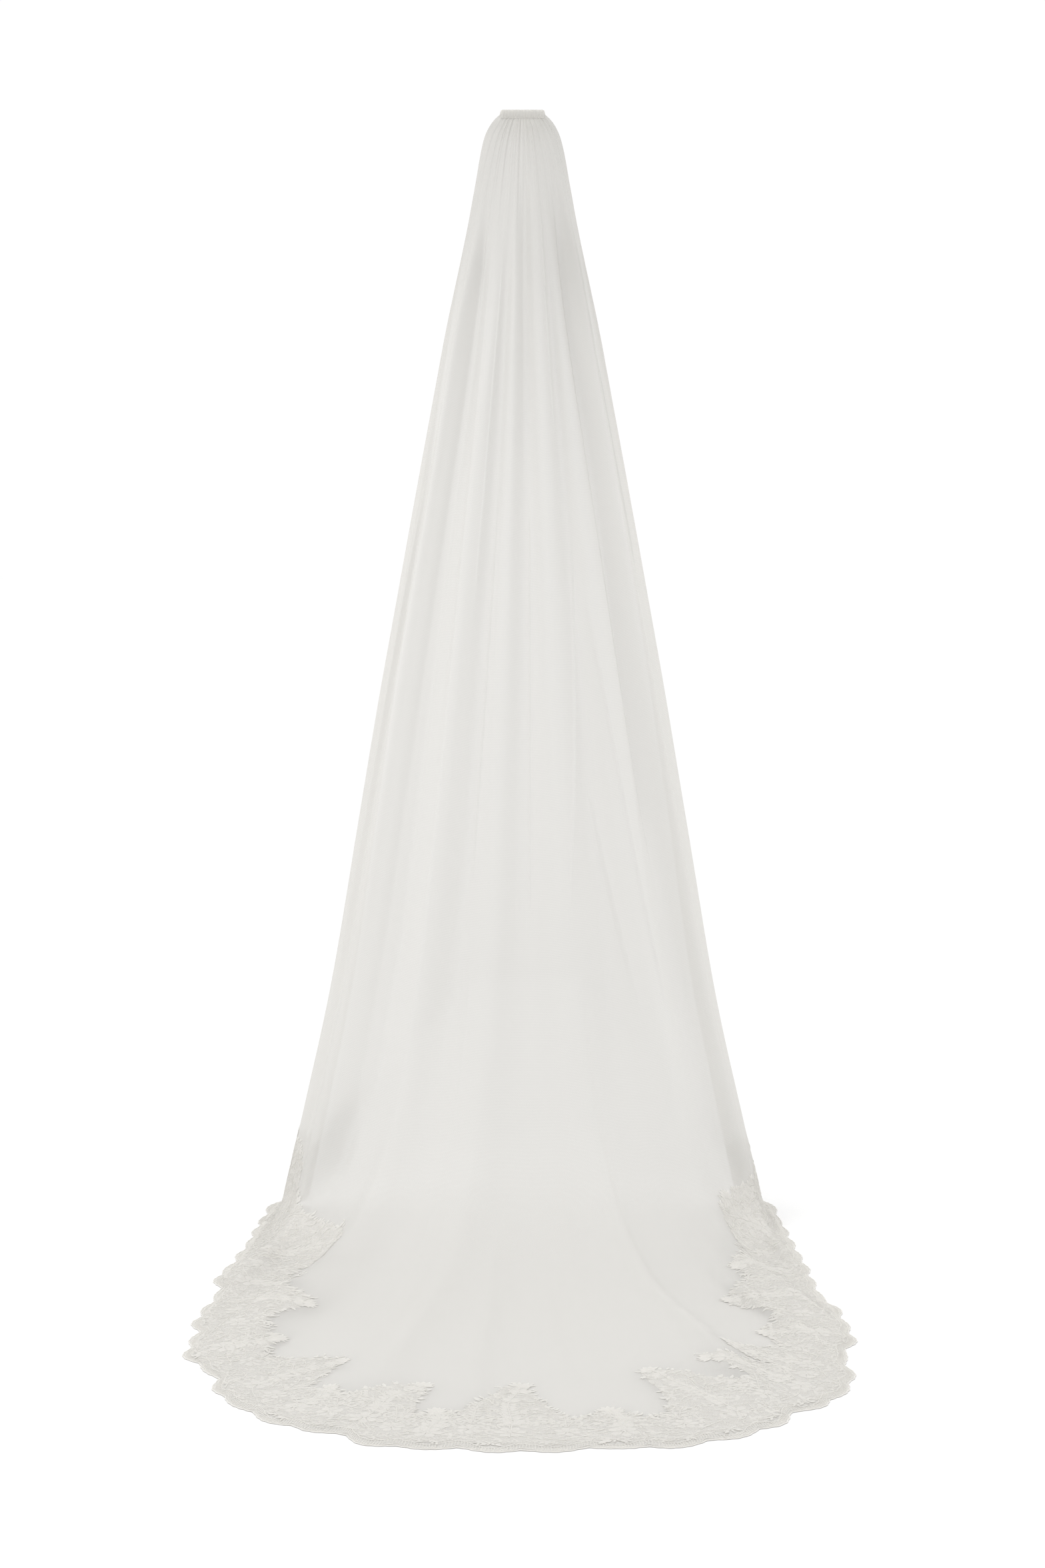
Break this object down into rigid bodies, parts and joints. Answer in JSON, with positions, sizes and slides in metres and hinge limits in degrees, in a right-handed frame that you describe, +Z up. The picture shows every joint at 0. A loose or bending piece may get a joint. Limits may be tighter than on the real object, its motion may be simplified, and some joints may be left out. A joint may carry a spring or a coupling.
{
  "type": "cathedral bridal veil with lace train",
  "caption": "Single-tier cathedral-length bridal veil of tulle, gathered onto a hair comb, hanging open to the front, with a train bordered in scalloped floral lace.",
  "frame": {"origin": "the middle of the comb's spine, where the veil is pinned into the hair", "axes": "+Z up; +Y towards the wearer, who stands in the open side of the veil; -Y along the train; +X to the right as seen from behind"},
  "size_m": [0.8535, 1.3036, 1.6991],
  "materials": {
    "tulle": "fine soft net, ivory white, matt with a faint sheen",
    "lace": "matt floral lace on net with a fine cord along its edge",
    "binding": "gathered tulle binding, matt",
    "comb": "clear ivory plastic, smooth"
  },
  "bodies": {
    "root": {"tulle_sheet": "tulle", "lace_border": "lace", "header_band": "binding", "comb": "comb"}
  },
  "joints": []
}
